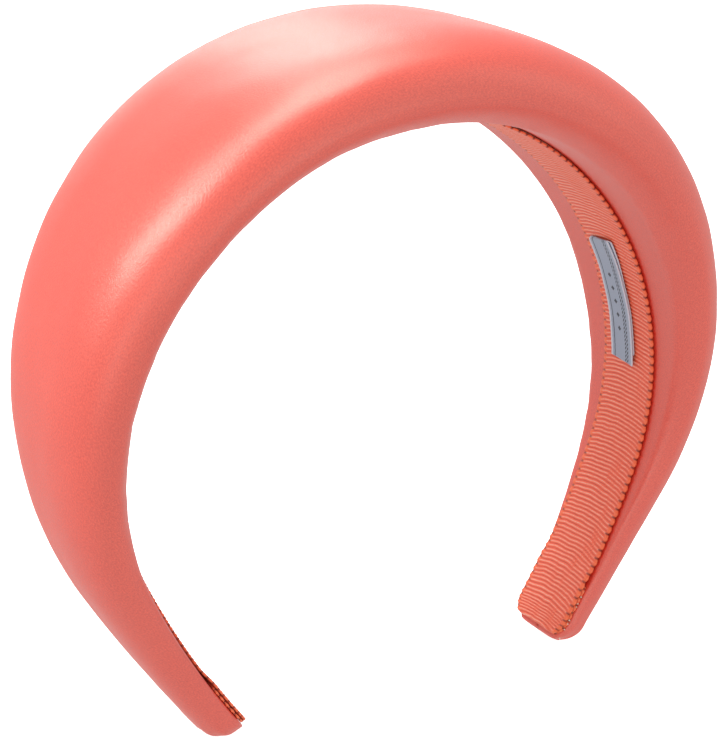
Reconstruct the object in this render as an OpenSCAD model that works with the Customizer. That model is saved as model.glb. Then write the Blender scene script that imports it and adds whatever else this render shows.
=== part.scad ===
// Padded satin headband: a spring band bent to a hoop, a shaped foam pad on its outside, a satin cover
// turned in round the edges, and a grosgrain ribbon that lines the inner face.
//
// The hoop stands in the XZ plane with its crown at +Z. Its width runs along Y. The origin is the centre
// of the round stretch of the hoop. A place on the hoop is given by s, the length along it from the top
// of the crown, and by v, the distance out from the satin's inner face, away from the wearer's head.

/* [Hoop] */
// Radius of the lining's inner face over the crown and temples, where the head sits
seat_r = 62; // [54:0.5:70]
// Angle from the top of the crown down to the end of the round stretch
round_angle = 113; // [100:1:118]
// Radius of the flatter arms below the round stretch
arm_r = 193; // [120:1:400]
// Length of each flatter arm, down to its tip
arm_len = 41; // [36:1:60]

/* [Pad] */
// Width of the padded band across the top of the crown
crown_w = 68; // [52:1:80]
// Width of the padded band at its tips
tip_w = 19.5; // [18:0.5:26]
// Height of the padded band at the top of the crown
crown_h = 18; // [12:0.5:24]
// Height of the padded band at its tips
tip_h = 6.8; // [5.5:0.1:10]
// Width of the flat inner face at the top of the crown
crown_base_w = 49; // [40:1:52]
// Width of the flat inner face at the tips
tip_base_w = 19; // [17:0.5:22]
// Squareness of the pad's shoulders across the band at the crown, 2 for an ellipse
crown_square_y = 2.5; // [2:0.1:4]
// Squareness of the pad's shoulders across the band at the tips
tip_square_y = 3.6; // [2:0.1:4]
// Squareness of the pad's shoulders up the side walls at the crown
crown_square_v = 3.3; // [2:0.1:4]
// Squareness of the pad's shoulders up the side walls at the tips
tip_square_v = 2.5; // [2:0.1:4]
// Share of the height over which the side walls draw in to the inner face
wall_share = 0.4; // [0.2:0.05:0.8]
// Length over which each tip is rounded off
tip_round = 5; // [3:0.5:8]

/* [Layers] */
// Thickness of the satin
satin_t = 0.35; // [0.25:0.05:0.6]
// Thickness of the spring band
core_t = 1.4; // [1:0.1:2]
// Distance from the edge of the inner face to the edge of the spring band
core_margin = 2.2; // [1.5:0.1:3]
// Distance from the middle of the band to the turned-in edge of the satin
hem_y = 4; // [2:0.5:4.5]
// Thickness of each film of glue
glue_t = 0.15; // [0.1:0.05:0.25]

/* [Lining] */
// Width of the grosgrain ribbon
ribbon_w = 17.8; // [14:0.1:19]
// Thickness of the grosgrain ribbon
ribbon_t = 0.6; // [0.4:0.05:0.9]
// Length of ribbon that is turned under at each tip
turn_len = 9; // [6:0.5:14]
// Length over which the ribbon rises to clear its turned-under end
rise_len = 10; // [8:0.5:14]

/* [Label] */
// Length of the label along the band
label_len = 29.5; // [18:0.5:34]
// Width of the label across the band
label_w = 7.8; // [6:0.1:10]
// Thickness of one ply of the folded label
label_t = 0.22; // [0.15:0.01:0.3]
// Angle from the top of the crown to the upper end of the label
label_angle = 66; // [40:1:80]
// Distance of the label's middle from the middle of the band
label_y = 1.8; // [-3:0.2:3]

/* [Hidden] */

// Clearance between neighbouring layers, between the foam and the satin that wraps it, and between the two
// halves at the crown
gap = 0.1;
foam_gap = 0.3;
crown_gap = 0.3;

// How the width, the height and the inner face fall away from the crown (0) to the tip (1)
width_fall = [2.3, 2.2];
height_fall = [2, 1.77];
base_fall = [1.65, 1.57];

// The satin's inner face is the datum of every layer, at v = 0
face_r = seat_r + ribbon_t + glue_t + 2*gap;
round_len = face_r*round_angle*PI/180;
half_len = round_len + arm_len;

// Each layer's lower face, from the inside out
ribbon_v = -(ribbon_t + glue_t + 2*gap);
lining_glue_v = -(glue_t + gap);
hem_glue_v = satin_t + gap;
core_v = hem_glue_v + glue_t + gap;
pad_glue_v = core_v + core_t + gap;
foam_v = pad_glue_v + glue_t + gap;

// How far the arcs of one strip run into each other
lap = 0.02;

// Shares of the width, the height and the spring band's width that are left at the very end of a tip
tip_share_w = 0.6;
tip_share_h = 0.5;
core_tip_share = 0.3;

// Bevel along the edges of the spring band
core_edge = 0.3;

// How far the films of glue stay inside the pieces they hold
film_margin = 1;
hem_film_margin = 0.5;

// How far each layer stops short of the tip
core_stop = 3.5;
foam_stop = 2;
film_stop = 8;
lining_film_stop = turn_len + rise_len + film_margin;

ring_pitch = 5;
tip_rings = 5;
least_pitch = 0.2;
section_steps = 18;
// How strongly the points of a section crowd towards its shoulders
crowding = 0.8;
$fn = 180;

// ---- the hoop's line ----

function fall(u, how) = pow(max(0, 1 - pow(u, how[0])), how[1]);
function between(tip, crown, share) = tip + (crown - tip)*share;
function pad_w(u) = between(tip_w, crown_w, fall(u, width_fall));
function pad_h(u) = between(tip_h, crown_h, fall(u, height_fall));
function base_w(u) = between(tip_base_w, crown_base_w, fall(u, base_fall));

// The angle that the hoop's outward direction has turned through from +Z, after a length s
function turn(s) = s < round_len ? s/face_r*180/PI : round_angle + (s - round_len)/arm_r*180/PI;
function out_of(a) = [sin(a), cos(a)];
arm_centre = (face_r - arm_r)*out_of(round_angle);
function line(s) = s < round_len ? face_r*out_of(turn(s)) : arm_centre + arm_r*out_of(turn(s));
// A point of the band: length s along the hoop, y across it, v out from its inner face
function place(s, y, v) =
    let (q = line(s) + v*out_of(turn(s)))
    [q.x, y, q.y];

// Stations along a half from the crown to a length end, closer together where the tip rounds off
function stations(end) =
    let (
        start = crown_gap/2,
        knee = half_len - tip_round,
        n = ceil((knee - start)/ring_pitch),
        near = [for (i = [0:n]) start + (knee - start)*i/n],
        far = [for (i = [1:tip_rings]) knee + tip_round*sin(90*i/tip_rings)])
    concat([for (s = concat(near, far)) if (s < end - least_pitch) s], [end]);

// How much of its full size the band still has at s, where the tip rounds off to a share least
function rounding(s, least) =
    let (t = max(0, (s - half_len + tip_round)/tip_round))
    sqrt(1 - (1 - least*least)*t*t);

// The pad's outline as [y, v] points, from the +Y side over the top to the -Y side, drawn in by inset
// all round and starting at the height floor_v
function outline(s, inset, floor_v) =
    let (
        u = s/half_len,
        shape = rounding(s, tip_share_w),
        w = (pad_w(u)/2 - inset)*shape,
        b = (base_w(u)/2 - inset)*shape,
        h = (pad_h(u) - 2*inset)*rounding(s, tip_share_h),
        square_y = between(tip_square_y, crown_square_y, 1 - u),
        square_v = between(tip_square_v, crown_square_v, 1 - u),
        start = asin(pow(max(0, (floor_v - inset)/h), square_v/2)))
    [for (i = [0:section_steps])
        let (
            t = i/section_steps,
            a = start + (180 - 2*start)*(t - crowding*sin(360*t)/(2*PI)),
            v = h*pow(abs(sin(a)), 2/square_v),
            pull = pow(max(0, 1 - v/(wall_share*h)), 2)*(w - b),
            y = w*pow(abs(cos(a)), 2/square_y) - pull)
        [sign(cos(a))*y, inset + v]];

function reversed(list) = [for (i = [len(list) - 1:-1:0]) list[i]];
function ring(s, points) = [for (p = points) place(s, p[0], p[1])];

// Two triangles for each side of the loops that join ring i to ring j, given as lists of point numbers
function band_faces(low, high) =
    [for (a = [0:len(low) - 1])
        let (b = (a + 1)%len(low))
        each [[low[a], high[a], high[b]], [low[a], high[b], low[b]]]];
function numbers(first, count) = [for (j = [0:count - 1]) first + j];
function flipped(faces) = [for (f = faces) reversed(f)];

// Triangles that fill a loop which is the same on both sides of the band. Its first two and last two
// points lie on the inner face.
function fill(loop) =
    let (m = len(loop))
    concat(
        [[loop[0], loop[1], loop[2]], [loop[0], loop[2], loop[m - 3]], [loop[0], loop[m - 3], loop[m - 1]],
            [loop[m - 3], loop[m - 2], loop[m - 1]]],
        [for (i = [2:floor((m - 3)/2)])
            let (j = m - 1 - i)
            each concat([[loop[i], loop[i + 1], loop[j]]],
                i + 1 < j - 1 ? [[loop[i + 1], loop[j - 1], loop[j]]] : [])]);

// A closed skin over a row of rings that all have the same number of points
module skin(rings) {
    n = len(rings[0]);
    last = len(rings) - 1;
    polyhedron(
        points = [for (r = rings) each r],
        faces = concat(
            [numbers(0, n)],
            [for (i = [0:last - 1]) each band_faces(numbers(i*n, n), numbers((i + 1)*n, n))],
            [reversed(numbers(last*n, n))]),
        convexity = 8);
}

// ---- strips of even thickness, made of true arcs ----

// One arc of a strip starts at point p, where the outward direction has turned through a, and runs on for
// length len. bend is 1/radius, positive where the arc curls round the head.
function arc_centre(p, a, bend) = p - out_of(a)/bend;
function arc_end(p, a, bend, len) =
    let (b = a + len*bend*180/PI)
    [arc_centre(p, a, bend) + out_of(b)/bend, b];

module arc_strip(p, a, bend, len, v0, v1, y0, y1) {
    c = arc_centre(p, a, bend);
    b = a + len*bend*180/PI;
    r = abs(1/bend);
    inner = bend > 0 ? r + v0 : r - v1;
    more = lap*abs(bend)*180/PI;
    start = (bend > 0 ? 90 : 270) - max(a, b) - more;
    translate([c.x, 0, c.y])
        rotate([90, 0, 0])
            rotate_extrude(angle = abs(b - a) + 2*more, start = start)
                translate([inner, -y1]) square([v1 - v0, y1 - y0]);
}

// A half-round fold between two plies, at point p where the outward direction has turned through a. It is
// a lap thinner than the plies on each side, so that it runs into their ends.
module fold(p, a, t, w, way) {
    translate([p.x, 0, p.y]) rotate([0, a, 0]) rotate([90, 0, 0]) rotate([0, 0, way > 0 ? -90 : 90])
        translate([0, 0, -w/2]) linear_extrude(w) intersection() {
            difference() {
                circle(t + gap/2 - lap);
                circle(gap/2 + lap);
            }
            translate([-2*t, -2*lap]) square([4*t, 2*t]);
        }
}

// A strip along the hoop from the crown to a length end
module hoop_strip(end, v0, v1, y0, y1) {
    start = crown_gap/2;
    arc_strip(line(start), turn(start), 1/face_r, min(end, round_len) - start, v0, v1, y0, y1);
    if (end > round_len)
        arc_strip(line(round_len), round_angle, 1/arm_r, end - round_len, v0, v1, y0, y1);
}

// ---- layers, drawn for the right half ----

module spring_band_half() {
    v0 = core_v;
    v1 = core_v + core_t;
    e = core_edge;
    color("gainsboro") skin([for (s = stations(half_len - core_stop))
        let (w = (base_w(s/half_len)/2 - core_margin)*rounding(s, core_tip_share))
        ring(s, [[w, v0 + e], [w, v1 - e], [w - e, v1], [e - w, v1],
            [-w, v1 - e], [-w, v0 + e], [e - w, v0], [w - e, v0]])]);
}

module foam_pad_half() {
    color("ivory") skin([for (s = stations(half_len - foam_stop))
        ring(s, outline(s, satin_t + foam_gap, foam_v))]);
}

// The satin runs from one turned-in edge, round the outside of the pad, to the other turned-in edge.
// Past the end of the foam it closes over the tip.
module satin_cover_half() {
    cavity_end = half_len - foam_stop + gap;
    hollow = stations(cavity_end);
    solid = [for (s = stations(half_len)) if (s > cavity_end + least_pitch) s];
    hollow_rings = [for (s = hollow)
        let (inner = outline(s, satin_t, 0), hem = min(hem_y, inner[0][0] - 1))
        ring(s, concat(outline(s, 0, 0), [[-hem, 0], [-hem, satin_t]], reversed(inner),
            [[hem, satin_t], [hem, 0]]))];
    solid_rings = [for (s = solid)
        let (out = outline(s, 0, 0), hem = min(hem_y, out[0][0] - 1))
        ring(s, concat(out, [[-hem, 0], [hem, 0]]))];
    n = len(hollow_rings[0]);
    m = len(solid_rings[0]);
    k = m - 2;
    c = len(hollow_rings) - 1;
    mouth = numbers(c*n, n);
    // the part of the last hollow ring that the closed tip carries on from
    lip = concat([for (j = [0:k]) mouth[j]], [mouth[n - 1]]);
    tips = [for (i = [0:len(solid_rings) - 1]) numbers((c + 1)*n + i*m, m)];
    last = tips[len(tips) - 1];
    cavity = reversed([for (j = [k + 1:n - 2]) mouth[j]]);
    color("salmon") polyhedron(
        points = concat([for (r = hollow_rings) each r], [for (r = solid_rings) each r]),
        faces = concat(
            // the cut face at the crown, between the outside and the inside of the satin
            [for (j = [0:k])
                let (a = (j + n - 1)%n)
                each [[a, j, n - 3 - j], [a, n - 3 - j, n - 2 - j]]],
            [for (i = [0:c - 1]) each band_faces(numbers(i*n, n), numbers((i + 1)*n, n))],
            fill(cavity),
            [[mouth[n - 1], mouth[n - 2], mouth[k + 1]], [mouth[n - 1], mouth[k + 1], mouth[k]]],
            band_faces(lip, tips[0]),
            [for (i = [0:len(tips) - 2]) each band_faces(tips[i], tips[i + 1])],
            flipped(fill(concat([last[m - 1]], [for (j = [0:m - 2]) last[j]])))),
        convexity = 8);
}

module pad_adhesive_half() {
    end = half_len - film_stop;
    color("wheat") skin([for (s = stations(end))
        let (w = base_w(s/half_len)/2 - core_margin - film_margin)
        ring(s, [[w, pad_glue_v], [w, pad_glue_v + glue_t], [-w, pad_glue_v + glue_t], [-w, pad_glue_v]])]);
}

module hem_adhesive_half() {
    end = half_len - film_stop;
    color("wheat") for (side = [-1, 1])
        skin([for (s = stations(end))
            let (
                w = base_w(s/half_len)/2 - core_margin - hem_film_margin,
                a = min(side*hem_y, side*w),
                b = max(side*hem_y, side*w))
            ring(s, [[b, hem_glue_v], [b, hem_glue_v + glue_t], [a, hem_glue_v + glue_t], [a, hem_glue_v]])]);
}

module lining_adhesive_half() {
    w = ribbon_w/2 - film_margin;
    color("wheat") hoop_strip(half_len - lining_film_stop, lining_glue_v, lining_glue_v + glue_t, -w, w);
}

// The ribbon rises in an S near the tip, runs on above its own end, and turns under round a small fold
module lining_ribbon_half() {
    w = ribbon_w/2;
    v0 = ribbon_v;
    v1 = ribbon_v + ribbon_t;
    flat_end = half_len - turn_len - rise_len;
    bend = 4*(ribbon_t + gap)/(rise_len*rise_len);
    middle = arc_end(line(flat_end), turn(flat_end), 1/arm_r + bend, rise_len/2);
    top = arc_end(middle[0], middle[1], 1/arm_r - bend, rise_len/2);
    tip = arc_end(top[0], top[1], 1/arm_r, turn_len);
    color("tomato") {
        hoop_strip(flat_end, v0, v1, -w, w);
        arc_strip(line(flat_end), turn(flat_end), 1/arm_r + bend, rise_len/2, v0, v1, -w, w);
        arc_strip(middle[0], middle[1], 1/arm_r - bend, rise_len/2, v0, v1, -w, w);
        arc_strip(top[0], top[1], 1/arm_r, turn_len, v0, v1, -w, w);
        arc_strip(tip[0], tip[1], 1/arm_r, -turn_len, v1 + gap, v1 + gap + ribbon_t, -w, w);
        fold(tip[0] + (v1 + gap/2)*out_of(tip[1]), tip[1], ribbon_t, ribbon_w, 1);
    }
}

// ---- the label, on the right arm ----

// The label keeps within the round stretch
label_s = min(label_angle/180*PI*face_r, round_len - label_len);
label_glue_v = ribbon_v - gap - glue_t;
label_under_v = label_glue_v - gap - label_t;
label_top_v = label_under_v - gap - label_t;

module label_strip(v, t, from, to, w) {
    arc_strip(line(from), turn(from), 1/face_r, to - from, v, v + t, label_y - w/2, label_y + w/2);
}

// Two plies, folded at the end nearer the crown
module label() {
    a = turn(label_s);
    p = line(label_s) + (label_under_v - gap/2)*out_of(a);
    color("lightsteelblue") {
        label_strip(label_under_v, label_t, label_s, label_s + label_len, label_w);
        label_strip(label_top_v, label_t, label_s, label_s + label_len, label_w);
        translate([0, label_y, 0]) fold(p, a, label_t, label_w, -1);
    }
}

module label_adhesive() {
    m = film_margin;
    color("wheat")
        label_strip(label_glue_v, glue_t, label_s + m, label_s + label_len - m, label_w - 2*m);
}

// ---- nodes ----

module on_left() { mirror([1, 0, 0]) children(); }

module left_spring_band() { on_left() spring_band_half(); }
module right_spring_band() { spring_band_half(); }
module left_foam_pad() { on_left() foam_pad_half(); }
module right_foam_pad() { foam_pad_half(); }
module left_satin_cover() { on_left() satin_cover_half(); }
module right_satin_cover() { satin_cover_half(); }
module left_lining_ribbon() { on_left() lining_ribbon_half(); }
module right_lining_ribbon() { lining_ribbon_half(); }
module left_pad_adhesive() { on_left() pad_adhesive_half(); }
module right_pad_adhesive() { pad_adhesive_half(); }
module left_hem_adhesive() { on_left() hem_adhesive_half(); }
module right_hem_adhesive() { hem_adhesive_half(); }
module left_lining_adhesive() { on_left() lining_adhesive_half(); }
module right_lining_adhesive() { lining_adhesive_half(); }

left_spring_band();
right_spring_band();
left_foam_pad();
right_foam_pad();
left_satin_cover();
right_satin_cover();
left_lining_ribbon();
right_lining_ribbon();
left_pad_adhesive();
right_pad_adhesive();
left_hem_adhesive();
right_hem_adhesive();
left_lining_adhesive();
right_lining_adhesive();
label();
label_adhesive();
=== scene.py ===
import math
import bpy
import numpy as np
from mathutils import Matrix, Vector, noise


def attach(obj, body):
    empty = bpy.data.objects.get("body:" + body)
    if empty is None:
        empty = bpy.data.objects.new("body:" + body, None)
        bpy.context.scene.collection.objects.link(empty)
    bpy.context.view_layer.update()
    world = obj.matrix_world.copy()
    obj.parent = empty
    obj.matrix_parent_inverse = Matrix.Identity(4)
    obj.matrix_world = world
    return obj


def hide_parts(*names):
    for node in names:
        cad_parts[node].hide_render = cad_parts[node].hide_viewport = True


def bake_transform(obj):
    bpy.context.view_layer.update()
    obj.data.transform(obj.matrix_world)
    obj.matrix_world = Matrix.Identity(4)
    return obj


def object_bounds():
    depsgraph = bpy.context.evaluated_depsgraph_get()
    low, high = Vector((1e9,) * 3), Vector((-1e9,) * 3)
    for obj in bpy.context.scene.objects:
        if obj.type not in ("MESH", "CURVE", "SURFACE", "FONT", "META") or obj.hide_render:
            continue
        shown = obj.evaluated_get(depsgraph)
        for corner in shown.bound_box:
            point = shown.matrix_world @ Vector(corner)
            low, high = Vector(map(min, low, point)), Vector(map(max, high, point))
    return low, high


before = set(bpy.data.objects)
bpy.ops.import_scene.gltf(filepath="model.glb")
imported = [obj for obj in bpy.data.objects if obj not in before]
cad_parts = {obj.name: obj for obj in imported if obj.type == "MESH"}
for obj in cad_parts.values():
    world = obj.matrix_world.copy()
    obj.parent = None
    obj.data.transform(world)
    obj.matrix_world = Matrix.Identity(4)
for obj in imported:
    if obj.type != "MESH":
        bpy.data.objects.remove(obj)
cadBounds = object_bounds()

# the camera looks at the hoop's centre, a little from the left and above
view = {
    "azimuth": -28.27,
    "elevation": 19.85,
    "roll": -1.92,
    "distance": 0.4615,
    "lens": 108.1,
    "shift": (-0.0261, 0.0438),
    "nearest": 0.01,
}


def makeCamera():
    turn = math.radians(view["azimuth"])
    rise = math.radians(view["elevation"])
    lean = math.radians(view["roll"])
    back = Vector((math.sin(turn) * math.cos(rise), -math.cos(turn) * math.cos(rise), math.sin(rise)))
    right = Vector((math.cos(turn), math.sin(turn), 0))
    up = back.cross(right)
    leaned = right * math.cos(lean) + up * math.sin(lean)
    upright = up * math.cos(lean) - right * math.sin(lean)
    data = bpy.data.cameras.new("viewCamera")
    data.lens = view["lens"]
    data.shift_x, data.shift_y = view["shift"]
    data.clip_start = view["nearest"]
    camera = bpy.data.objects.new("viewCamera", data)
    place = Matrix((leaned, upright, back)).transposed().to_4x4()
    place.translation = back * view["distance"]
    camera.matrix_world = place
    bpy.context.scene.collection.objects.link(camera)
    bpy.context.scene.camera = camera


makeCamera()
print("camera made")

# the hoop's line, in metres, the same as the part's

hoop = {
    "faceRadius": 0.06295,  # the satin's inner face over the crown
    "roundAngle": math.radians(113),  # where the flatter arms begin
    "armRadius": 0.193,
    "armLength": 0.041,
    "bendReach": 0.033,  # half the width over which the crown bends when the band is opened
}
roundLength = hoop["faceRadius"] * hoop["roundAngle"]
halfLength = roundLength + hoop["armLength"]


def hoopPlace(s, y, v):
    # a point of the band: s along it from the crown, y across it, v out from its inner face
    s, y, v = np.broadcast_arrays(np.asarray(s, float), y, v)
    far = np.abs(s)
    side = np.where(s < 0, -1.0, 1.0)
    onArm = np.maximum(far - roundLength, 0)
    angle = np.minimum(far, roundLength) / hoop["faceRadius"] + onArm / hoop["armRadius"]
    lineRadius = np.where(far < roundLength, hoop["faceRadius"], hoop["armRadius"])
    centreShift = np.where(far < roundLength, 0.0, hoop["faceRadius"] - hoop["armRadius"])
    x = centreShift * math.sin(hoop["roundAngle"]) + (lineRadius + v) * np.sin(angle)
    z = centreShift * math.cos(hoop["roundAngle"]) + (lineRadius + v) * np.cos(angle)
    return np.stack([side * x, y, z], -1)


def smooth(t):
    t = np.clip(t, 0, 1)
    return t * t * (3 - 2 * t)


def wander(x, y=0.0, seed=0.0):
    # smooth noise from -1 to 1
    return noise.noise(Vector((x, y, seed)))


# meshes

def meshPiece(name, points, faces, fields=None, smoothed=True):
    mesh = bpy.data.meshes.new(name)
    mesh.from_pydata([tuple(p) for p in points], [], faces)
    mesh.validate()
    for fieldName, values in (fields or {}).items():
        field = mesh.attributes.new(fieldName, "FLOAT_VECTOR", "POINT")
        field.data.foreach_set("vector", np.asarray(values, np.float32).ravel())
    if smoothed:
        mesh.polygons.foreach_set("use_smooth", [True] * len(mesh.polygons))
    piece = bpy.data.objects.new(name, mesh)
    bpy.context.scene.collection.objects.link(piece)
    return piece


def loftFaces(rings, across, first=0):
    # quads between closed rings of the same number of points, with one face over each end
    faces = []
    for i in range(rings - 1):
        for j in range(across):
            k = (j + 1) % across
            low = first + i * across
            high = low + across
            faces.append((low + j, low + k, high + k, high + j))
    faces.append(tuple(first + j for j in reversed(range(across))))
    faces.append(tuple(first + (rings - 1) * across + j for j in range(across)))
    return faces


def bendAtCrown(piece):
    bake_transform(piece)


# the pad's section

pad = {
    "crownWidth": 0.068,
    "tipWidth": 0.0195,
    "crownHeight": 0.018,
    "tipHeight": 0.0068,
    "crownBase": 0.049,
    "tipBase": 0.019,
    "widthFall": (2.3, 2.2),
    "heightFall": (2.0, 1.77),
    "baseFall": (1.65, 1.57),
    "squareAcross": (3.6, 2.5),  # at the tip, at the crown
    "squareUp": (2.5, 3.3),
    "wallShare": 0.4,  # how far up the wall the pull towards the base reaches
    "tipRound": 0.005,
    "tipShares": (0.7, 0.5),  # of the width and of the height, left at the very tip
    "frontCrisp": 0.58,  # how much squarer the front shoulder is over the crown
    "crispReach": 0.55,  # the share of each half over which that fades
    "samples": 400,
}


def fall(u, how):
    return max(0.0, 1 - u ** how[0]) ** how[1]


def padSize(s):
    # half the width, half the width of the inner face, the height and both squarenesses at s
    u = min(1.0, abs(s) / halfLength)
    width = pad["tipWidth"] + (pad["crownWidth"] - pad["tipWidth"]) * fall(u, pad["widthFall"])
    height = pad["tipHeight"] + (pad["crownHeight"] - pad["tipHeight"]) * fall(u, pad["heightFall"])
    base = pad["tipBase"] + (pad["crownBase"] - pad["tipBase"]) * fall(u, pad["baseFall"])
    across = pad["squareAcross"][0] * u + pad["squareAcross"][1] * (1 - u)
    up = pad["squareUp"][0] * u + pad["squareUp"][1] * (1 - u)
    return width / 2, base / 2, height, across, up


def tipShare(s, least):
    t = min(1.0, max(0.0, (abs(s) - halfLength + pad["tipRound"]) / pad["tipRound"]))
    return math.sqrt(1 - (1 - least * least) * t * t)


def padSide(s, inset, count, floor=0.0, crisp=0.0):
    # one side of the section, from its inner corner up to the top of the pad, evenly spaced
    w, b, h, across, up = padSize(s)
    crisp *= 1 - smooth(abs(s) / halfLength / pad["crispReach"])
    across *= 1 + crisp
    up *= 1 + crisp / 2
    shape = tipShare(s, pad["tipShares"][0])
    w = (w - inset) * shape
    b = (b - inset) * shape
    h = (h - 2 * inset) * tipShare(s, pad["tipShares"][1])
    start = math.asin(max(0.0, (floor - inset) / h) ** (up / 2))
    a = np.linspace(start, math.pi / 2, pad["samples"])
    v = h * np.sin(a) ** (2 / up)
    pull = np.maximum(0, 1 - v / (pad["wallShare"] * h)) ** 2 * (w - b)
    y = w * np.clip(np.cos(a), 0, 1) ** (2 / across) - pull
    y[-1] = 0
    run = np.concatenate([[0], np.cumsum(np.hypot(np.diff(y), np.diff(v)))])
    at = np.linspace(0, run[-1], count)
    return np.interp(at, run, y), inset + np.interp(at, run, v)


# the satin cover

cover = {
    "thickness": 0.00035,
    "hem": 0.004,  # from the band's middle to the turned-in edge
    "hemGap": 0.00004,
    "hemCloses": 0.006,  # the last stretch, over which the two hems come together
    "cornerRound": 0.0013,
    "cornerTipShare": 0.3,
    "stationPitch": 0.0016,
    "endReach": 0.012,  # the last stretch, with closer stations and small gathers
    "endStations": 22,
    "sidePoints": 40,
    "cornerPoints": 6,
    "marginPoints": 6,
    "capBulge": 0.0006,
    "capRings": 7,
    "flatLevel": 0.0002,  # cloth lower than this lies flat on the band
    "flatShare": 0.4,  # how much of the unevenness is left there
    "unevenness": 0.00016,
    "edgeWrinkle": 0.00011,
    "wrinkleLevel": 0.001,
    "wrinkleReach": 0.0035,
    "tipPucker": 0.00012,
    "tipPuckers": 15,
}


def coverStations():
    knee = halfLength - cover["endReach"]
    n = round(knee / cover["stationPitch"])
    near = np.linspace(0, knee, n + 1)
    closing = np.sin(np.linspace(0, math.pi / 2, cover["endStations"]))[1:]
    far = halfLength - cover["endReach"] * (1 - closing)
    right = np.concatenate([near, far])
    return np.concatenate([-right[:0:-1], right])


def coverSide(s, crisp):
    # from the hem edge round the outside to the middle of the top
    sideY, sideV = padSide(s, 0.0, pad["samples"], crisp=crisp)
    run = np.concatenate([[0], np.cumsum(np.hypot(np.diff(sideY), np.diff(sideV)))])
    cut = cover["cornerRound"] * tipShare(s, cover["cornerTipShare"])
    corner = sideY[0]
    closed = smooth((abs(s) - halfLength + cover["hemCloses"]) / cover["hemCloses"])
    hem = min(cover["hem"], corner - 2 * cut) * (1 - closed) + cover["hemGap"]
    marginY = np.linspace(hem, corner - cut, cover["marginPoints"])
    t = np.linspace(0, 1, cover["cornerPoints"] + 2)[1:-1]
    endY = np.interp(cut, run, sideY)
    endV = np.interp(cut, run, sideV)
    bendY = (1 - t) ** 2 * (corner - cut) + 2 * t * (1 - t) * corner + t * t * endY
    bendV = t * t * endV
    at = np.linspace(cut, run[-1], cover["sidePoints"])
    wallY = np.interp(at, run, sideY)
    wallV = np.interp(at, run, sideV)
    return np.concatenate([marginY, bendY, wallY]), np.concatenate([marginY * 0, bendV, wallV])


def coverSection(s):
    # y and v from the hem edge at the back, over the top, to the hem edge at the front
    backY, backV = coverSide(s, 0.0)
    frontY, frontV = coverSide(s, pad["frontCrisp"])
    return np.concatenate([backY, -frontY[-2::-1]]), np.concatenate([backV, frontV[-2::-1]])


def sectionNormals(y, v):
    stepY = np.gradient(y)
    stepV = np.gradient(v)
    size = np.hypot(stepY, stepV) + 1e-12
    # the section runs up the +Y side, so its outward side is on the right
    return stepV / size, -stepY / size


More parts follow.
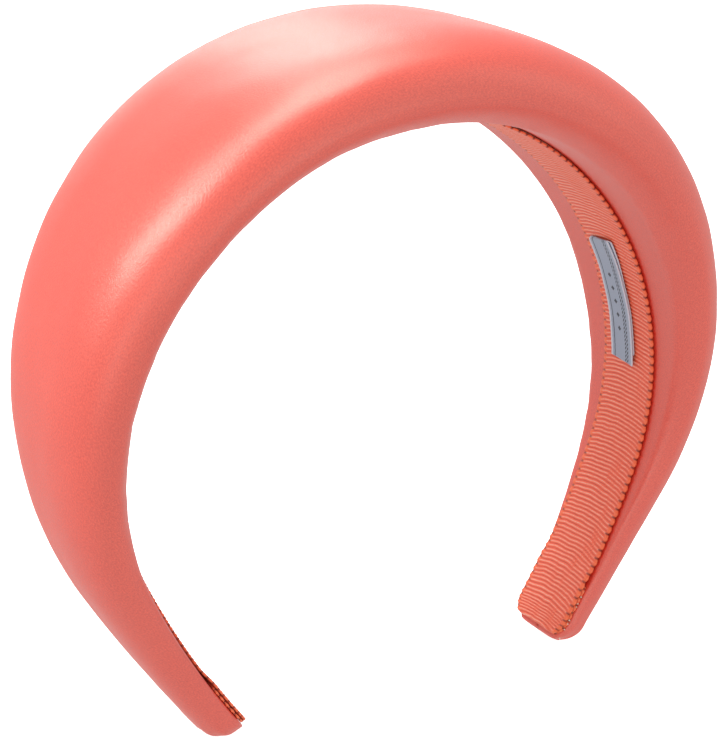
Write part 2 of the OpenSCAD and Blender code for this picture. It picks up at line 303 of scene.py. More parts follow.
def satinCover():
    stations = coverStations()
    thickness = cover["thickness"]
    outer, inner, clothAt = [], [], []
    for s in stations:
        y, v = coverSection(s)
        outY, outV = sectionNormals(y, v)
        run = np.concatenate([[0], np.cumsum(np.hypot(np.diff(y), np.diff(v)))])
        run -= run[-1] / 2
        height = v.max()
        side = np.where(y > 0, 1.0, -1.0)
        end = smooth((abs(s) - halfLength + cover["endReach"]) / cover["endReach"])
        lift = []
        for j in range(len(y)):
            raised = v[j] > cover["flatLevel"]
            soft = wander(s * 70, run[j] * 80, 1.5) + 0.5 * wander(s * 170, run[j] * 150, 4.2)
            crimp = wander(s * 230, side[j] * 3, 7.7) + 0.5 * wander(s * 520, side[j] * 5 + v[j] * 40, 9.1)
            above = (v[j] - cover["wrinkleLevel"]) / cover["wrinkleReach"]
            low = math.exp(-above ** 2) if raised else 0.25
            lobe = math.atan2(v[j] - height / 2, y[j])
            gather = math.sin(cover["tipPuckers"] * lobe + 2 * wander(lobe * 1.5, 0, 3.3 + side[j]))
            lift.append(
                cover["unevenness"] * soft * raised
                + cover["edgeWrinkle"] * crimp * low
                + cover["tipPucker"] * gather * end * (0.3 + 0.7 * raised)
            )
        lift = np.array(lift)
        flat = v < cover["flatLevel"]
        lift[flat] = np.minimum(lift[flat], 0) * cover["flatShare"]  # the inner face stays off the ribbon
        outer.append(hoopPlace(s, y + outY * lift, v + outV * lift))
        inner.append(hoopPlace(s, y + outY * (lift - thickness), v + outV * (lift - thickness)))
        clothAt.append(np.stack([run, run * 0 + s, v], -1))
    outer = cappedEnds(outer, stations, 0.0)
    inner = cappedEnds(inner, stations, thickness)
    cloth = clothAt[:1] * cover["capRings"] + clothAt + clothAt[-1:] * cover["capRings"]
    across = len(outer[0])
    rings = len(outer)
    points = np.concatenate([np.concatenate(outer), np.concatenate(inner)])
    count = rings * across
    faces = []
    for i in range(rings - 1):
        for j in range(across - 1):
            a = i * across + j
            b = a + across
            faces.append((a, a + 1, b + 1, b))
            faces.append((count + a, count + b, count + b + 1, count + a + 1))
        for j, way in ((0, 1), (across - 1, -1)):
            a = i * across + j
            b = a + across
            rim = (a, b, count + b, count + a)
            faces.append(rim if way > 0 else rim[::-1])
    poles = []  # one point closes each end of each side of the cloth
    for ring, face in ((0, 1), (rings - 1, -1)):
        for shift, turn, middle in ((0, 1, outer[ring]), (count, -1, inner[ring])):
            poles.append((ring, shift, face * turn, middle.mean(0)))
    extra = [p[3] for p in poles]
    for k, (ring, shift, way, _) in enumerate(poles):
        pole = 2 * count + k
        for j in range(across - 1):
            a = shift + ring * across + j
            tri = (a, pole, a + 1)
            faces.append(tri if way > 0 else tri[::-1])
    for k, ring in ((0, 0), (2, rings - 1)):
        outPole = 2 * count + k
        inPole = outPole + 1
        for j, way in ((0, 1), (across - 1, -1)):
            a = ring * across + j
            rim = (outPole, a, count + a, inPole)
            way = way if ring == 0 else -way
            faces.append(rim if way > 0 else rim[::-1])
    cloth = np.concatenate(cloth)
    ends = np.array([[0, -halfLength, 0]] * 2 + [[0, halfLength, 0]] * 2)
    fields = {"clothAt": np.concatenate([cloth, cloth, ends])}
    return meshPiece("satinCover", np.concatenate([points, extra]), faces, fields)


def cappedEnds(rings, stations, thickness):
    # more rings, which draw each end of the cover in to a soft dome
    def dome(ring, s):
        middle = ring.mean(0)
        end = hoopPlace(s + math.copysign(1e-4, s), 0, 0) - hoopPlace(s, 0, 0)
        end /= np.linalg.norm(end)
        made = []
        for i in range(1, cover["capRings"] + 1):
            a = math.pi / 2 * i / (cover["capRings"] + 0.6)
            # the cloth's inner side makes a lower dome
            out = cover["capBulge"] * math.sin(a) - thickness * math.sin(a)
            made.append(middle + (ring - middle) * math.cos(a) ** 0.6 + end * out)
        return made
    first = dome(rings[0], stations[0])[::-1]
    last = dome(rings[-1], stations[-1])
    return first + rings + last


satin = satinCover()
print("satin cover made")

# what the cover hides: the foam, the spring band and the glue

layers = {
    "gap": 0.0001,
    "glue": 0.00015,
    "bandHeight": 0.0014,
    "bandMargin": 0.0022,
    "bandEdge": 0.0003,
    "bandTipShare": 0.3,
    "bandStop": 0.0035,
    "bandLastStep": 0.0007,
    "foamStop": 0.0022,
    "foamLastStep": 0.001,
    "foamDent": 0.0001,
    "glueStop": 0.008,
    "pitch": 0.004,
    "hemGlueIn": 0.0005,
    "padGlueIn": 0.001,
    "liningGlueIn": 0.001,
    "liningGap": 0.00003,
    "foamPoints": 22,
}
hemGlueFloor = cover["thickness"] + layers["gap"]
bandFloor = hemGlueFloor + layers["glue"] + layers["gap"]
padGlueFloor = bandFloor + layers["bandHeight"] + layers["gap"]
foamFloor = padGlueFloor + layers["glue"] + layers["gap"]


def evenStations(end, lastStep=0.0):
    # with a last step, one more station stands that far before each end
    n = round(2 * end / layers["pitch"])
    even = np.linspace(-end, end, n + 1)
    return np.unique(np.concatenate([even, [end - lastStep, lastStep - end]])) if lastStep else even


def foamPad():
    end = halfLength - layers["foamStop"]
    inset = cover["thickness"] + 3 * layers["gap"]
    rings = []
    for s in evenStations(end, layers["foamLastStep"]):
        y, v = padSide(s, inset, layers["foamPoints"], foamFloor)
        dents = np.array([wander(s * 60, q * 90, 5.5) for q in y])
        y = y - layers["foamDent"] * np.abs(dents)
        rings.append(hoopPlace(s, np.concatenate([y, -y[-2::-1]]), np.concatenate([v, v[-2::-1]])))
    across = len(rings[0])
    return meshPiece("foamPad", np.concatenate(rings), loftFaces(len(rings), across))


def springBand():
    end = halfLength - layers["bandStop"]
    e = layers["bandEdge"]
    low = bandFloor
    high = bandFloor + layers["bandHeight"]
    rings = []
    for s in evenStations(end, layers["bandLastStep"]):
        w = (padSize(s)[1] - layers["bandMargin"]) * tipShare(s, layers["bandTipShare"])
        y = np.array([w, w, w - e / 3, w - e, e - w, e / 3 - w, -w, -w, e / 3 - w, e - w, w - e, w - e / 3])
        v = np.array([
            low + e, high - e, high - e / 3, high, high, high - e / 3,
            high - e, low + e, low + e / 3, low, low, low + e / 3,
        ])
        rings.append(hoopPlace(s, y, v))
    return meshPiece("springBand", np.concatenate(rings), loftFaces(len(rings), 12), smoothed=False)


glueSection = np.array([0.15, 0.85, 1, 0.85, 0.15, 0])  # heights round a film, as shares of its thickness


def glueFilm(name, end, floor, edges):
    # thin films that run along the band; edges gives each one's two edges across the band at s
    points, faces = [], []
    for low, high in edges:
        rings = []
        for s in evenStations(end):
            a, b = sorted((low(s), high(s)))
            y = np.array([b, b, (a + b) / 2, a, a, (a + b) / 2])
            v = floor + layers["glue"] * glueSection
            rings.append(hoopPlace(s, y, v))
        faces += loftFaces(len(rings), 6, first=len(points))
        points += list(np.concatenate(rings))
    return meshPiece(name, points, faces)


def baseInside(margin):
    return lambda s: padSize(s)[1] - layers["bandMargin"] - margin


def madeGlue():
    end = halfLength - layers["glueStop"]
    wide = baseInside(layers["padGlueIn"])
    padGlue = glueFilm("padGlue", end, padGlueFloor, [(lambda s: -wide(s), wide)])
    edge = baseInside(layers["hemGlueIn"])
    hem = cover["hem"]
    strips = [(lambda s: hem, edge), (lambda s: -edge(s), lambda s: -hem)]
    hemGlue = glueFilm("hemGlue", end, hemGlueFloor, strips)
    return padGlue, hemGlue


foam = foamPad()
band = springBand()
padGlue, hemGlue = madeGlue()
print("foam, spring band and glue made")

# the grosgrain lining

ribbon = {
    "width": 0.0178,
    "thickness": 0.0006,
    "middle": -0.0005,  # its middle layer, out from the satin's inner face
    "turned": 0.012,  # the length folded under at each tip
    "rise": 0.006,
    "underMiddle": -0.00036,  # the turned-under ply's middle layer
    "topMiddle": -0.001,  # the middle layer of the ply above it
    "overhang": -0.0012,  # from the end of the cover to the fold
    "ribPitch": 0.00098,
    "stepsPerRib": 7,
    "ribRelief": 0.00024,
    "bow": 0.0011,  # how far a rib's ends lag behind its middle
    "bowReach": 0.02,
    "wobble": 0.0003,
    "sway": 0.00012,
    "loop": 0.00042,
    "loopShare": 0.08,  # the share of the half width that the edge loops take
    "crowd": 2.0,  # how many more ribs the turned end squeezes in
    "crowdReach": 0.005,
    "cornerPull": 0.24,
    "cornerReach": 0.0036,
    "crease": 0.0002,
    "creaseWidth": 0.07,
    "creaseEnd": 0.05,
    "creaseFade": 0.03,
    "acrossTop": 24,
    "acrossUnder": 7,
    "flatPoints": 400,
    "risePoints": 120,
    "foldPoints": 30,
    "turnedPoints": 50,
}


def foldRadius():
    return (ribbon["underMiddle"] - ribbon["topMiddle"]) / 2


def ribbonPath():
    # length run, s and v of the ribbon's middle, from the crown to the end of the turned-under ply
    end = halfLength + ribbon["overhang"]
    flatEnd = end - ribbon["turned"] - ribbon["rise"]
    s = list(np.linspace(0, flatEnd, ribbon["flatPoints"]))
    v = [ribbon["middle"]] * len(s)
    for at in np.linspace(flatEnd, end, ribbon["risePoints"])[1:]:
        up = smooth((at - flatEnd) / ribbon["rise"])
        s.append(at)
        v.append(ribbon["middle"] + (ribbon["topMiddle"] - ribbon["middle"]) * float(up))
    r = foldRadius()
    for a in np.linspace(0, math.pi, ribbon["foldPoints"])[1:]:
        s.append(end + r * math.sin(a))
        v.append(ribbon["underMiddle"] - r - r * math.cos(a))
    s += list(np.linspace(end, end - ribbon["turned"], ribbon["turnedPoints"])[1:])
    v += [ribbon["underMiddle"]] * (len(s) - len(v))
    s, v = np.array(s), np.array(v)
    flat = hoopPlace(s, 0, v)
    run = np.concatenate([[0], np.cumsum(np.linalg.norm(np.diff(flat, axis=0), axis=1))])
    return run, flat[:, 0], flat[:, 2]


def liningRibbon():
    run, pathX, pathZ = ribbonPath()
    total = run[-1]
    foldAt = total - ribbon["turned"] - foldRadius() * math.pi / 2
    n = round(total / ribbon["ribPitch"] * ribbon["stepsPerRib"])
    length = np.linspace(-total, total, 2 * n + 1)
    far = np.abs(length)
    x = np.interp(far, run, pathX) * np.sign(length)
    z = np.interp(far, run, pathZ)
    tangent = np.stack([np.gradient(x, length), np.gradient(z, length)], -1)
    tangent /= np.linalg.norm(tangent, axis=1)[:, None]
    # towards the head on the top ply
    headX, headZ = tangent[:, 1], -tangent[:, 0]
    top = np.linspace(-1, 1, ribbon["acrossTop"])
    top = np.sign(top) * (1 - (1 - np.abs(top)) ** 1.35)  # closer together at the edges
    bottom = np.linspace(1, -1, ribbon["acrossUnder"])[1:-1]
    share = np.concatenate([top, [1.0, 1.0], bottom, [-1.0, -1.0]])
    level = np.concatenate([np.ones(len(top)), [0.55, -0.55], -np.ones(len(bottom)), [-0.55, 0.55]])
    rounding = np.concatenate([np.zeros(len(top)), [1, 1], np.zeros(len(bottom)), [1, 1]])
    edge = np.clip((np.abs(share) - (1 - ribbon["loopShare"])) / ribbon["loopShare"], 0, 1)
    points, fields = [], []
    half = ribbon["width"] / 2 - ribbon["loop"] * 0.6
    for i, here in enumerate(length):
        drift = [wander(here * 160, q * 1.9, 2.2) + 0.5 * wander(here * 420, q * 5, 6.4) for q in share]
        nearEnd = smooth((far[i] - foldAt + ribbon["crowdReach"]) / ribbon["crowdReach"])
        nearEnd = nearEnd * ribbon["crowd"] * ribbon["ribPitch"]
        towardTip = math.tanh(here / ribbon["bowReach"])
        at = here + towardTip * (nearEnd - ribbon["bow"] * share ** 2)
        phase = (at + ribbon["wobble"] * np.array(drift)) / ribbon["ribPitch"] * math.pi
        cord = np.abs(np.cos(phase)) ** 0.75
        loops = np.sqrt(np.abs(np.cos((here + towardTip * nearEnd) / ribbon["ribPitch"] * math.pi / 2)))
        pull = 1 - ribbon["cornerPull"] * max(0.0, 1 - abs(far[i] - foldAt) / ribbon["cornerReach"]) ** 2
        y = share * half * pull
        y = y + np.sign(share) * ribbon["loop"] * loops * (edge + 0.35 * rounding)
        y = y + ribbon["sway"] * wander(here * 25, 0, 8.8)
        thick = ribbon["thickness"] / 2 - ribbon["ribRelief"] * (1 - cord) * 0.8
        thick = thick * (1 + 0.12 * edge)
        fading = 1 - smooth((far[i] - ribbon["creaseEnd"]) / ribbon["creaseFade"])
        crease = ribbon["crease"] * np.exp(-(share / ribbon["creaseWidth"]) ** 2) * fading
        height = level * thick + crease * (level > 0.9)
        points.append(np.stack([x[i] + headX[i] * height, y, z[i] + headZ[i] * height], -1))
        fields.append(np.stack([share * ribbon["width"] / 2, loops + 0 * share, cord], -1))
    across = len(share)
    faces = loftFaces(len(points), across)
    piece = meshPiece("liningRibbon", np.concatenate(points), faces, {"weaveAt": np.concatenate(fields)})
    return piece, 2 * total


def liningGlue():
    margin = layers["liningGlueIn"]
    end = halfLength - ribbon["turned"] - ribbon["rise"] - margin
    w = ribbon["width"] / 2 - margin
    floor = -layers["glue"] - layers["liningGap"]
    return glueFilm("liningGlue", end, floor, [(lambda s: -w, lambda s: w)])


lining, liningLength = liningRibbon()
underLining = liningGlue()
print("lining made,", round(liningLength * 1000), "mm long")

# the woven label, folded in two and glued to the lining

label = {
    "upperAngle": math.radians(65.2),
    "length": 0.0296,
    "underShare": 0.93,  # the under ply's length as a share of the upper one's
    "width": 0.0078,
    "yTop": 0.0020,
    "yLow": 0.0009,
    "ply": 0.00022,
    "floor": -0.00118,  # the lower ply's middle
    "spread": 0.0003,
    "underPeek": 0.0007,  # how far the under ply shows past the front edge near the fold
    "peekReach": 0.4,
    "underNarrower": 0.0001,
    "slant": (0.0008, -0.0012),  # at the fold, and its change by the cut end
    "wave": 0.0001,
    "edgeRipple": 0.00005,
    "edgeCurl": 0.00016,
    "acrossPoints": 26,
    "alongPoints": 90,
    "foldPoints": 9,
    "glueIn": 0.001,
    "glueMiddle": 0.0018,
    "glueHalf": 0.0028,
    "glueFloor": -0.00103,
    "glueThick": 0.0001,
    "glueStations": 16,
}


def wovenLabel():
    start = label["upperAngle"] * hoop["faceRadius"]
    w = label["width"] / 2
    topLevel = label["floor"] - label["spread"]
    fold = label["spread"] / 2
    rows = []
    m = label["alongPoints"]
    for t in np.linspace(1, 0, m):  # the under ply, from its cut end up to the fold
        rows.append((start + t * label["length"] * label["underShare"], label["floor"], 1, t))
    for a in np.linspace(0, math.pi, label["foldPoints"])[1:-1]:
        level = label["floor"] - fold + fold * math.cos(a)
        rows.append((start - fold * math.sin(a), level, 1 - a / math.pi, 0))
    for t in np.linspace(0, 1, m):
        rows.append((start + t * label["length"], topLevel, 0, t))
    count = label["acrossPoints"]
    share = np.linspace(-1, 1, count)
    grid, weave = [], []
    run = 0
    last = None
    for s, v, under, t in rows:
        middle = label["yTop"] + (label["yLow"] - label["yTop"]) * t
        middle -= under * label["underPeek"] * float(1 - smooth(t / label["peekReach"]))
        lean = (label["slant"][0] + label["slant"][1] * t) * share * (1 - under)
        ripple = label["edgeRipple"] * math.sin(t * 140)
        y = middle + share * (w - label["underNarrower"] * under - ripple)
        wave = label["wave"] * np.array([wander(s * 150, q * 1.1, 6.1) for q in share])
        curl = label["edgeCurl"] * np.abs(share) ** 4 * (1 - under)
        here = hoopPlace(s + lean, y, v + wave - curl)
        if last is not None:
            run += float(np.linalg.norm(here[count // 2] - last))
        last = here[count // 2]
        grid.append(here)
        weave.append(np.stack([share * w, share * 0 + run, share * 0 + under], -1))
    # thickness along each row's own normal
    grid = np.array(grid)
    alongStep = np.gradient(grid, axis=0)
    acrossStep = np.gradient(grid, axis=1)
    normal = np.cross(acrossStep, alongStep)
    normal /= np.linalg.norm(normal, axis=2)[:, :, None]
    half = label["ply"] / 2
    loops = []
    for i in range(len(rows)):
        a = grid[i] + normal[i] * half
        b = grid[i][::-1] - normal[i][::-1] * half
        loops.append(np.concatenate([a, b]))
    fields = np.concatenate([np.concatenate([f, f[::-1]]) for f in weave])
    faces = loftFaces(len(loops), 2 * count)
    return meshPiece("wovenLabel", np.concatenate(loops), faces, {"weaveAt": fields}), run


def labelGlue():
    start = label["upperAngle"] * hoop["faceRadius"] + label["glueIn"]
    end = start + label["length"] * 0.9 - 2 * label["glueIn"]
    y = label["glueMiddle"] + label["glueHalf"] * np.array([1, 1, 0, -1, -1, 0])
    v = label["glueFloor"] + label["glueThick"] * glueSection
    rings = [hoopPlace(s, y, v) for s in np.linspace(start, end, label["glueStations"])]
    return meshPiece("labelGlue", np.concatenate(rings), loftFaces(len(rings), len(y)))


tag, tagLength = wovenLabel()
tagGlue = labelGlue()
print("label made,", round(tagLength * 1000), "mm long")

# beads of dried glue that show beside the lining at the right tip

beads = {
    "count": 9,
    "size": 0.00017,
    "first": 0.0012,  # from the tip
    "pitch": 0.0014,
    "outside": 0.0001,  # past the ribbon's edge
    "scatter": 0.0003,
    "level": -0.0002,
    "rows": 6,
    "turns": 10,
}


def glueBeads():
    points, faces = [], []
    rows, turns = beads["rows"], beads["turns"]
    for k in range(beads["count"]):
        s = halfLength - beads["first"] - beads["pitch"] * (k + 0.9 * wander(k * 3.1, 0.4, 2.0))
        y = beads["scatter"] * wander(k * 1.7, 0.3, 5.0) - ribbon["width"] / 2 - beads["outside"]
        r = beads["size"] * (1 + 1.1 * wander(k * 2.3, 1.2, 1.0))
        centre = hoopPlace(s, y, beads["level"] - 0.3 * r)
        base = len(points)
        for i in range(1, rows):
            a = math.pi * i / rows
            for j in range(turns):
                b = 2 * math.pi * j / turns
                q = r * (1 + 0.25 * wander(i * 1.3 + k, j * 0.9, 3.0))
                ball = np.array([math.sin(a) * math.cos(b), 1.5 * math.sin(a) * math.sin(b), math.cos(a)])
                points.append(centre + q * ball)
        points.append(centre + np.array([0, 0, r]))
        points.append(centre - np.array([0, 0, r]))
        head, foot = len(points) - 2, len(points) - 1
        for i in range(rows - 2):
            for j in range(turns):
                a = base + i * turns + j
                b = base + i * turns + (j + 1) % turns
                faces.append((a, a + turns, b + turns, b))
        for j in range(turns):
            after = (j + 1) % turns
            last = base + (rows - 2) * turns
            faces.append((head, base + j, base + after))
            faces.append((foot, last + after, last + j))
    return meshPiece("glueBeads", points, faces)


specks = glueBeads()
print("glue beads made")

# shader tools


class Wire:
    # a socket whose operators add Math nodes
    def __init__(self, tree, socket):
        self.tree = tree
        self.socket = socket

    def maths(self, operation, other=0.0, swap=False):
        made = self.tree.nodes.new("ShaderNodeMath")
        made.operation = operation
        pair = (other, self) if swap else (self, other)
        for place, value in zip(made.inputs, pair):
            if isinstance(value, Wire):
                self.tree.links.new(value.socket, place)
            else:
                place.default_value = value
        return Wire(self.tree, made.outputs[0])

    def __add__(self, other):
        return self.maths("ADD", other)

    def __sub__(self, other):
        return self.maths("SUBTRACT", other)

    def __rsub__(self, other):
        return self.maths("SUBTRACT", other, swap=True)

    def __mul__(self, other):
        return self.maths("MULTIPLY", other)

    __radd__ = __add__
    __rmul__ = __mul__

    def sine(self):
        return self.maths("SINE")

    def size(self):
        return self.maths("ABSOLUTE")

    def above(self, edge, soft):
        # 0 below edge, 1 above it, with a soft change
        return ((self - edge) * (1 / soft) + 0.5).maths("MAXIMUM", 0.0).maths("MINIMUM", 1.0)


class Finish:
    # one material and its nodes
    def __init__(self, name):
        self.material = bpy.data.materials.new(name)
        self.material.use_nodes = True
        self.tree = self.material.node_tree
        self.tree.nodes.clear()

    def node(self, kind, settings=None, sockets=None, output=0):
        made = self.tree.nodes.new("ShaderNode" + kind)
        for name, value in (settings or {}).items():
            setattr(made, name, value)
        for name, value in (sockets or {}).items():
            if isinstance(value, Wire):
                self.tree.links.new(value.socket, made.inputs[name])
            else:
                made.inputs[name].default_value = value
        return Wire(self.tree, made.outputs[output]) if made.outputs else made

    def field(self, name):
        # a field of the mesh, as a vector and as its three numbers
        vector = self.node("Attribute", {"attribute_name": name}, output=1)
        return vector, [self.node("SeparateXYZ", sockets={0: vector}, output=k) for k in range(3)]

    def mix(self, share, first, second):
        return self.node("Mix", {"data_type": "RGBA"}, {0: share, 6: first, 7: second}, output=2)

    def stretched(self, vector, scale):
        return self.node("VectorMath", {"operation": "MULTIPLY"}, {0: vector, 1: scale})

    def noise(self, vector, scale, detail=2.0, rough=0.5):
        sockets = {"Vector": vector, "Scale": scale, "Detail": detail, "Roughness": rough}
        return self.node("TexNoise", sockets=sockets)

    def objectPlace(self):
        return self.node("TexCoord", output=3)

    def bump(self, height, distance, strength=1.0):
        return self.node("Bump", sockets={"Height": height, "Distance": distance, "Strength": strength})

    def surface(self, **sockets):
        shader = self.node("BsdfPrincipled", sockets={k.replace("_", " "): v for k, v in sockets.items()})
        self.node("OutputMaterial", sockets={"Surface": shader})
        return self.material


def colour(red, green, blue):
    # an sRGB colour, 0 to 255, as linear light
    def linear(c):
        c /= 255
        return c / 12.92 if c <= 0.04045 else ((c + 0.055) / 1.055) ** 2.4
    return (linear(red), linear(green), linear(blue), 1.0)


# finishes

satinLook = {
    "deep": colour(210, 40, 28),
    "bright": colour(240, 76, 54),
    "twillPitch": 0.00032,
    "driftScale": (900, 900, 900),
    "grainScale": (3300, 2500, 0),
    "yarnScale": (3800, 700, 0),
    "mottleScale": (60, 45, 0),
    "relief": 0.00005,
    "roughness": 0.37,
    "roughSpread": 0.24,
    "ior": 1.75,
    "glint": colour(255, 244, 230),
}


def satinFinish():
    look = satinLook
    f = Finish("coralSatin")
    place, (across, along, _) = f.field("clothAt")
    diagonal = (across + along) * (2 * math.pi / look["twillPitch"])
    drift = f.noise(f.stretched(place, look["driftScale"]), 1.0, 2.0)
    twill = (diagonal + drift * 5).sine() * 0.5 + 0.5
    grain = f.noise(f.stretched(place, look["grainScale"]), 1.0, 1.0, 0.6)
    yarn = f.noise(f.stretched(place, look["yarnScale"]), 1.0, 1.0)
    mottle = f.noise(f.stretched(place, look["mottleScale"]), 1.0, 3.0)
    tone = (twill * 0.25 + grain * 1.1 + yarn * 0.35 + mottle * 0.2).above(0.97, 0.6)
    base = f.mix(tone, look["deep"], look["bright"])
    height = twill * 0.3 + grain + yarn * 0.3
    return f.surface(
        Base_Color=base,
        Roughness=grain * look["roughSpread"] + (look["roughness"] - look["roughSpread"] / 2),
        Normal=f.bump(height, look["relief"], 0.9),
        IOR=look["ior"],
        Specular_IOR_Level=1.0,
        Specular_Tint=look["glint"],
    )


ribbonLook = {
    # painted shade: the rib valleys are coloured darker than the flanks
    "valleyShade": colour(196, 68, 46),
    "flank": colour(246, 106, 74),
    # painted highlight: a pale colour along the rib crests
    "crestHighlight": colour(255, 216, 190),
    "loop": colour(250, 114, 66),
    # painted shadow: a dark colour in the notches between the edge loops
    "notchShade": colour(140, 44, 30),
    "yarnPitch": 0.00024,
    "rimWidth": 0.0006,
    "relief": 0.00004,
    "roughness": 0.48,
    "roughSpread": 0.2,
    "sheen": colour(255, 190, 165),
}


def ribbonFinish():
    look = ribbonLook
    f = Finish("grosgrain")
    across, loops, cord = f.field("weaveAt")[1]
    spot = f.objectPlace()
    yarn = (across * (2 * math.pi / look["yarnPitch"])).sine() * 0.5 + 0.5
    fuzz = f.noise(spot, 2200.0, 3.0, 0.6)
    patch = f.noise(spot, 75.0, 2.0)
    # the cord's height sets where the painted highlight on the rib crests and the painted shade in the
    # valleys go
    crestHighlight = cord + (fuzz - 0.5) * 0.16
    # painted shade: the valleys between the ribs are darker
    low = f.mix(crestHighlight.above(0.35, 0.5), look["valleyShade"], look["flank"])
    # painted highlight along the rib crests
    high = f.mix(crestHighlight.above(0.97, 0.16) * (0.8 + 0.2 * yarn), low, look["crestHighlight"])
    rim = across.size().above(ribbon["width"] / 2 - look["rimWidth"], 0.0005)
    # the edge loops keep their own orange, with painted shadow in the notches between them
    edge = f.mix(loops.above(0.6, 0.4), look["notchShade"], look["loop"])
    base = f.mix(rim * 0.9, high, edge)
    base = f.mix((patch - 0.35) * 0.3, base, look["flank"])
    height = yarn * 0.4 + fuzz * 0.7
    return f.surface(
        Base_Color=base,
        Roughness=fuzz * look["roughSpread"] + look["roughness"] - look["roughSpread"] / 2,
        Normal=f.bump(height, look["relief"], 0.8),
        Specular_IOR_Level=0.55,
        Sheen_Weight=0.15,
        Sheen_Roughness=0.5,
        Sheen_Tint=look["sheen"],
    )


labelLook = {
    "ground": colour(132, 150, 172),
    "pale": colour(178, 192, 208),
    "selvedge": colour(206, 214, 226),
    "line": colour(28, 36, 50),
    "selvedgeWidth": 0.00045,
    "warpPitch": 0.00019,
    "weftPitch": 0.00023,
    "thinLine": 0.0027,
    "thinHalf": 0.00013,
    "twillLines": (-0.0014, -0.0021),
    "twillHalf": 0.00026,
    "twillPitch": 0.0009,
    "motifPitch": 0.0032,
    "motifHalf": 0.00062,
    "motifLine": 0.0006,  # across the label
    "motifMiddle": 0.0425,  # along it, from the cut end of the under ply
    "motifReach": 0.0078,
    "relief": 0.00003,
}


def labelFinish():
    look = labelLook
    f = Finish("labelWeave")
    place, (across, along, under) = f.field("weaveAt")
    warp = (across * (2 * math.pi / look["warpPitch"])).sine() * 0.5 + 0.5
    weft = (along * (2 * math.pi / look["weftPitch"])).sine() * 0.5 + 0.5
    fuzz = f.noise(f.stretched(place, (3000, 3000, 0)), 1.0, 2.0)
    ground = f.mix(warp * 0.25 + weft * 0.3 + fuzz * 0.3, look["ground"], look["pale"])
    selvedge = across.size().above(label["width"] / 2 - look["selvedgeWidth"], 0.0002)
    ground = f.mix(selvedge, ground, look["selvedge"])
    thin = 1 - (across - look["thinLine"]).size().above(look["thinHalf"], 0.00008)
    steps = ((along - across * 1.2) * (2 * math.pi / look["twillPitch"])).sine().above(-0.35, 0.5)
    twill = thin * 0
    for at in look["twillLines"]:
        twill = twill + (1 - (across - at).size().above(look["twillHalf"], 0.0001)) * steps
    # a plain row of small lozenges
    cell = (along * (1 / look["motifPitch"])).maths("FRACT") - 0.5
    lozenge = cell.size() * look["motifPitch"] + (across - look["motifLine"]).size()
    within = (along - look["motifMiddle"]).size()
    row = (1 - lozenge.above(look["motifHalf"], 0.00012)) * (1 - within.above(look["motifReach"], 0.0002))
    row = row * (1 - under.above(0.5, 0.2))
    marks = (thin + twill + row).maths("MINIMUM", 1.0)
    base = f.mix(marks * 0.92, ground, look["line"])
    return f.surface(
        Base_Color=base,
        Roughness=fuzz * 0.15 + 0.42,
        Normal=f.bump(warp * 0.5 + weft * 0.5, look["relief"], 0.7),
        Specular_IOR_Level=0.6,
        Sheen_Weight=0.1,
        Sheen_Roughness=0.4,
    )


hiddenLook = {
    "foam": (colour(236, 228, 206), colour(250, 244, 228)),
    "foamCells": 1400.0,
    "foamTint": 90.0,
    "foamRelief": 0.0002,
    "band": (colour(214, 212, 206), colour(232, 230, 224)),
    "bandFlow": (160, 900, 160),
    "bandRelief": 0.00003,
    "glue": (colour(214, 196, 170), colour(238, 226, 206)),
    "glueLumps": 1500.0,
    "glueRelief": 0.00006,
}


def foamFinish():
    look = hiddenLook
    f = Finish("paddingFoam")
    place = f.objectPlace()
    cells = f.node("TexVoronoi", sockets={"Vector": place, "Scale": look["foamCells"]})
    tint = f.noise(place, look["foamTint"], 3.0)
    return f.surface(
        Base_Color=f.mix(tint, *look["foam"]),
        Roughness=cells * 0.1 + 0.85,
        Normal=f.bump(cells, look["foamRelief"], 0.6),
    )


def bandFinish():
    look = hiddenLook
    f = Finish("bandPlastic")
    flow = f.noise(f.stretched(f.objectPlace(), look["bandFlow"]), 1.0, 3.0)
    return f.surface(
        Base_Color=f.mix(flow, *look["band"]),
        Roughness=flow * 0.15 + 0.35,
        Normal=f.bump(flow, look["bandRelief"], 0.4),
    )


def glueFinish():
    look = hiddenLook
    f = Finish("driedGlue")
    lumps = f.noise(f.objectPlace(), look["glueLumps"], 3.0)
    return f.surface(
        Base_Color=f.mix(lumps, *look["glue"]),
        Roughness=lumps * 0.2 + 0.15,
        Normal=f.bump(lumps, look["glueRelief"], 0.6),
        Specular_IOR_Level=0.6,
    )


glueCoat = glueFinish()
for piece, material in (
    (satin, satinFinish()),
    (lining, ribbonFinish()),
    (tag, labelFinish()),
    (foam, foamFinish()),
    (band, bandFinish()),
    (padGlue, glueCoat),
    (hemGlue, glueCoat),
    (underLining, glueCoat),
    (tagGlue, glueCoat),
    (specks, glueCoat),
):
    piece.data.materials.append(material)
print("finishes made")

# floor and light

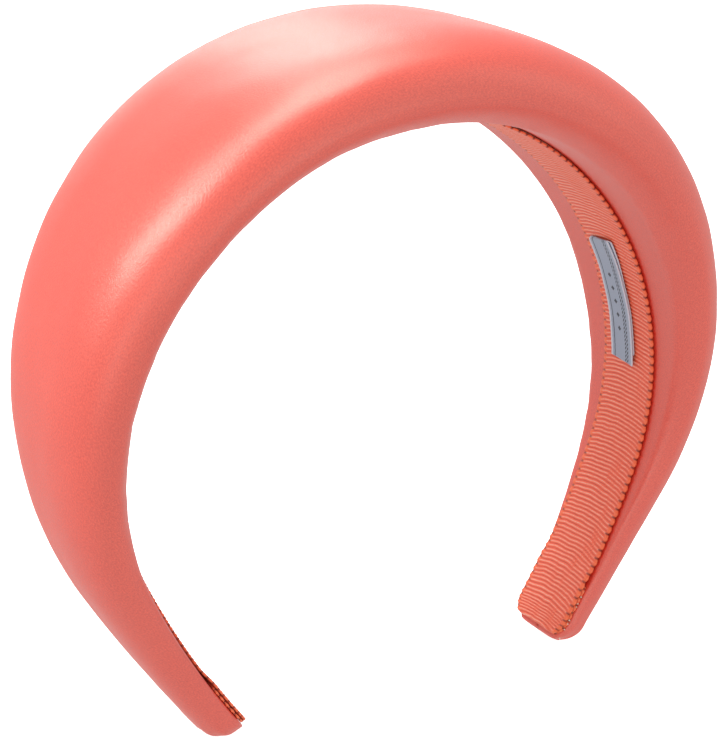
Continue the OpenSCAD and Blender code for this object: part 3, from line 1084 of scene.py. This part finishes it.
studio = {
    "floorSize": 6.0,
    "floorDrop": 0.0012,  # below the object's lowest point
    "floor": (colour(250, 250, 250), colour(244, 244, 244)),
    "floorGlow": 0.85,
    "world": 0.8,
    # name, direction from the hoop, distance, width, height, power
    "lights": (
        ("topBox", (-0.08, 0.08, 0.98), 0.95, 0.4, 0.12, 2.6),
        ("upperLeftBox", (-0.48, 0.14, 0.86), 0.95, 0.12, 0.35, 1.2),
        ("leftBox", (-0.78, 0.14, 0.6), 0.95, 0.14, 0.3, 3.0),
        ("upperBackBox", (0.12, 0.38, 0.92), 0.95, 0.3, 0.2, 1.2),
        ("backBox", (0.24, 0.8, 0.52), 0.95, 0.3, 0.2, 1.2),
        ("rimBox", (0.3, 0.92, 0.14), 0.95, 0.7, 0.25, 0.6),
        ("lowLeftBox", (-0.8, -0.55, 0.1), 1.0, 0.3, 0.4, 0.6),
        ("lowFrontBox", (0.1, -0.98, 0.0), 1.0, 0.5, 0.2, 0.5),
        ("frontRightBox", (0.7, -0.6, 0.4), 1.0, 0.5, 0.5, 0.4),
    ),
}


def makeStudio():
    ground = cadBounds[0][2] - studio["floorDrop"]
    r = studio["floorSize"] / 2
    corners = [(x, y, ground) for x, y in ((-r, -r), (r, -r), (r, r), (-r, r))]
    floor = meshPiece("floor", corners, [(0, 1, 2, 3)], smoothed=False)
    f = Finish("paleFloor")
    grain = f.noise(f.objectPlace(), 40.0, 2.0)
    floor.data.materials.append(f.surface(
        Base_Color=f.mix(grain * 0.1, *studio["floor"]),
        Roughness=0.9,
        Specular_IOR_Level=0.1,
        Emission_Color=(1, 1, 1, 1),
        Emission_Strength=studio["floorGlow"],
    ))
    floor.visible_diffuse = False  # a bounce from below would wash the satin out
    floor.visible_glossy = False
    world = bpy.data.worlds.new("studioAir")
    world.use_nodes = True
    air = world.node_tree.nodes["Background"]
    air.inputs["Color"].default_value = (1, 1, 1, 1)
    air.inputs["Strength"].default_value = studio["world"]
    bpy.context.scene.world = world
    for name, direction, distance, width, height, power in studio["lights"]:
        data = bpy.data.lights.new(name, "AREA")
        data.shape = "RECTANGLE"
        data.size = width
        data.size_y = height
        data.energy = power
        lamp = bpy.data.objects.new(name, data)
        away = Vector(direction).normalized()
        lamp.rotation_mode = "QUATERNION"
        lamp.rotation_quaternion = away.to_track_quat("Z", "Y")
        lamp.location = away * distance
        bpy.context.scene.collection.objects.link(lamp)


makeStudio()
bpy.context.scene.view_settings.view_transform = "Standard"
print("studio made")

# which nodes each piece stands for, and the body that the label, its glue and the glue beads move with

for piece, stem, slotName in (
    (satin, "satin_cover", "satin"),
    (foam, "foam_pad", "foam"),
    (band, "spring_band", "spring_band"),
    (padGlue, "pad_adhesive", "glue"),
    (hemGlue, "hem_adhesive", "glue"),
    (underLining, "lining_adhesive", "glue"),
    (lining, "lining_ribbon", "grosgrain"),
):
    bendAtCrown(piece)
    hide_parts("left_" + stem, "right_" + stem)

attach(tag, "right_half")
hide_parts("label")
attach(tagGlue, "right_half")
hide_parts("label_adhesive")
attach(specks, "right_half")
